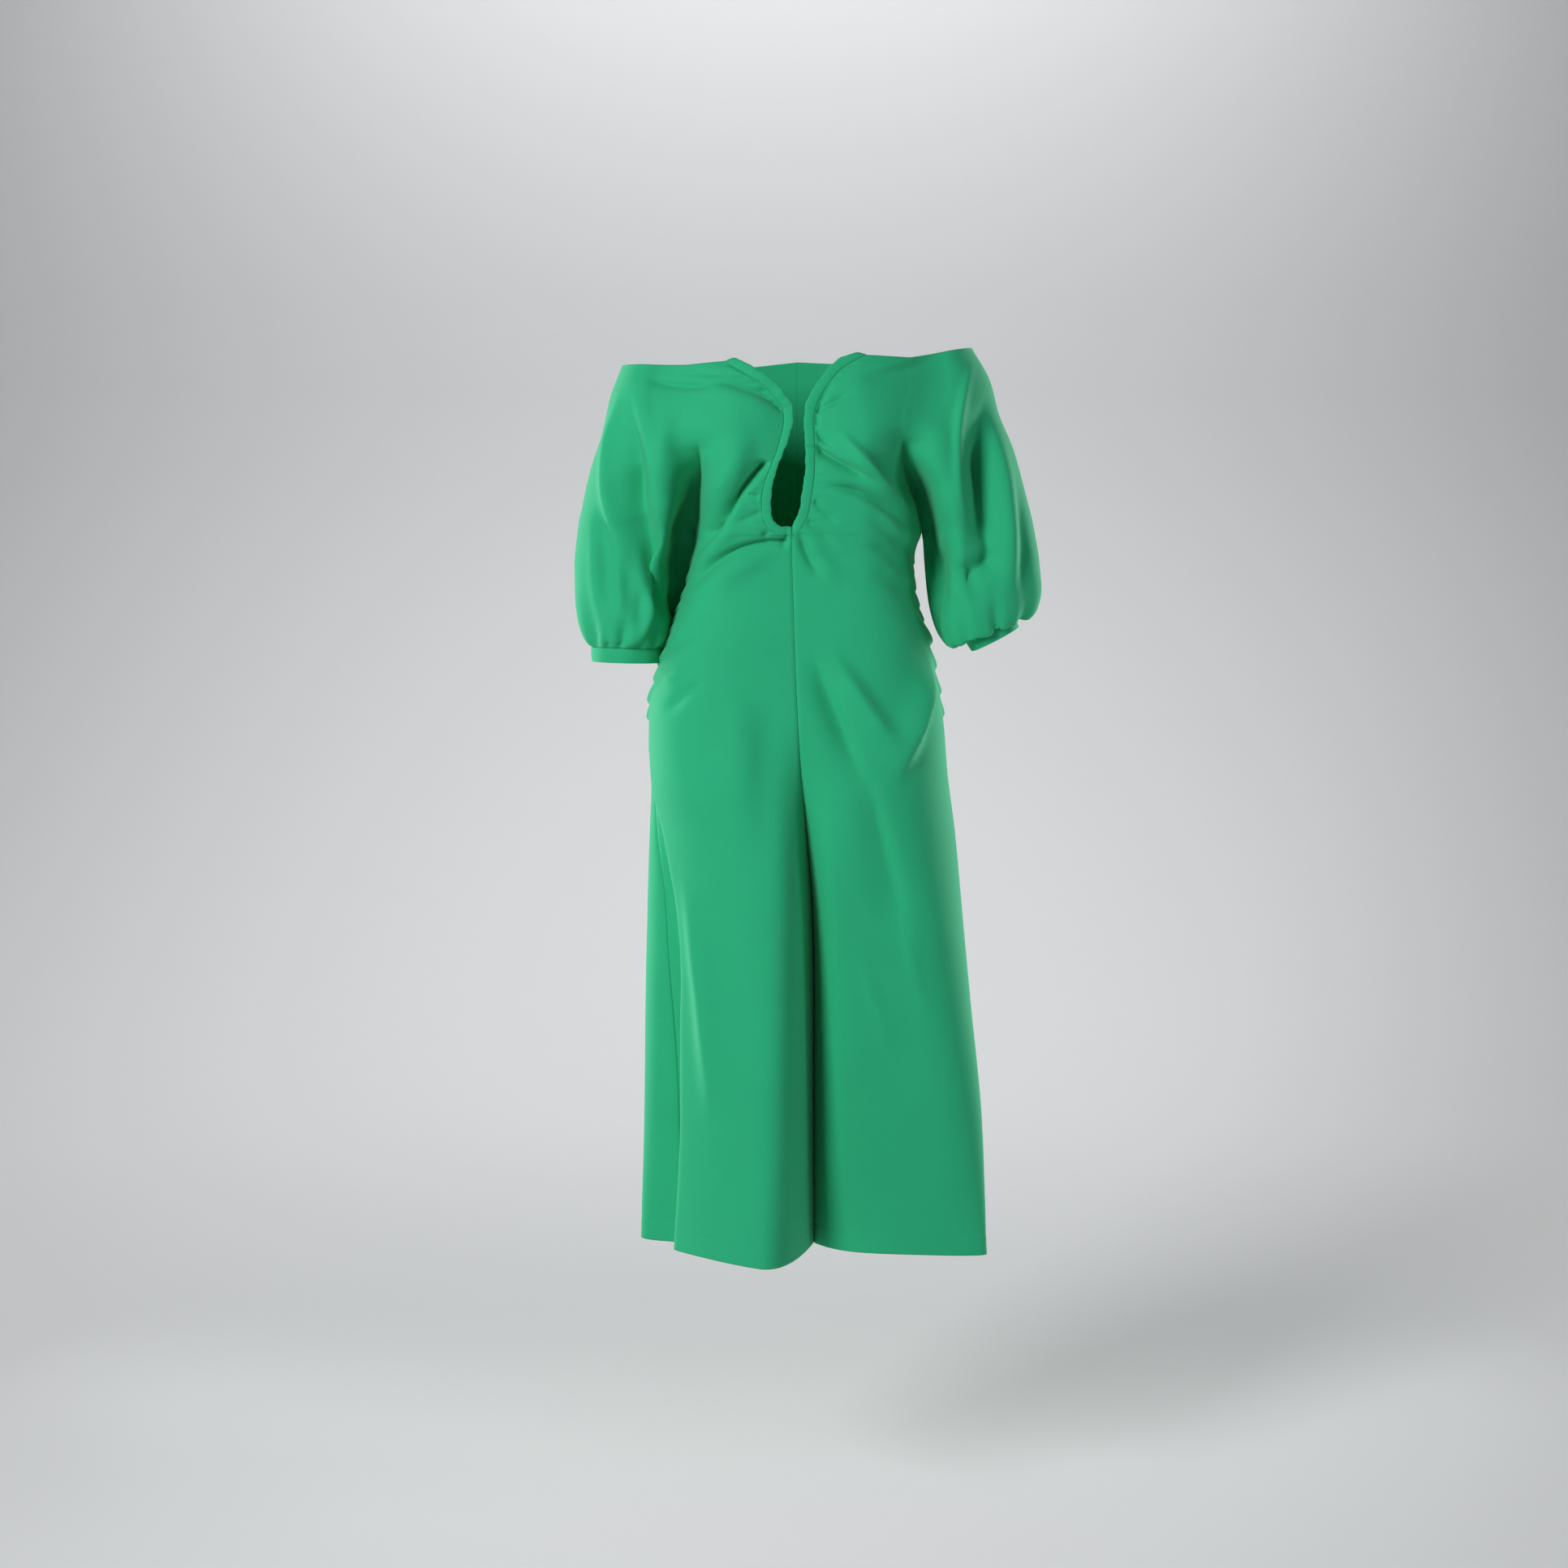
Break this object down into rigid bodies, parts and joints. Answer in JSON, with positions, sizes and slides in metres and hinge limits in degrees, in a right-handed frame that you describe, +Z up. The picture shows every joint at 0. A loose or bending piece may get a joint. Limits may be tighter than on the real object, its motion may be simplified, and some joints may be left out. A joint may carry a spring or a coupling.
{
  "type": "off-shoulder dress",
  "caption": "Green off-shoulder midi dress with gathered keyhole neckline, balloon sleeves on narrow cuffs, ruched side seams and a slim skirt.",
  "frame": {"origin": "on the body's axis at the level where the neckline sits on the upper arms", "axes": "+Z up along the body, +X towards the wearer's left, +Y towards the back"},
  "size_m": [0.552, 0.2474, 1.0648],
  "materials": {
    "crepe": "matte heavy crepe",
    "crepe_band": "matte heavy crepe, folded double"
  },
  "bodies": {
    "root": {"front_left": "crepe", "front_right": "crepe", "back_left": "crepe", "back_right": "crepe", "cuff_left": "crepe_band", "cuff_right": "crepe_band", "casing_left": "crepe_band", "casing_right": "crepe_band"}
  },
  "joints": []
}
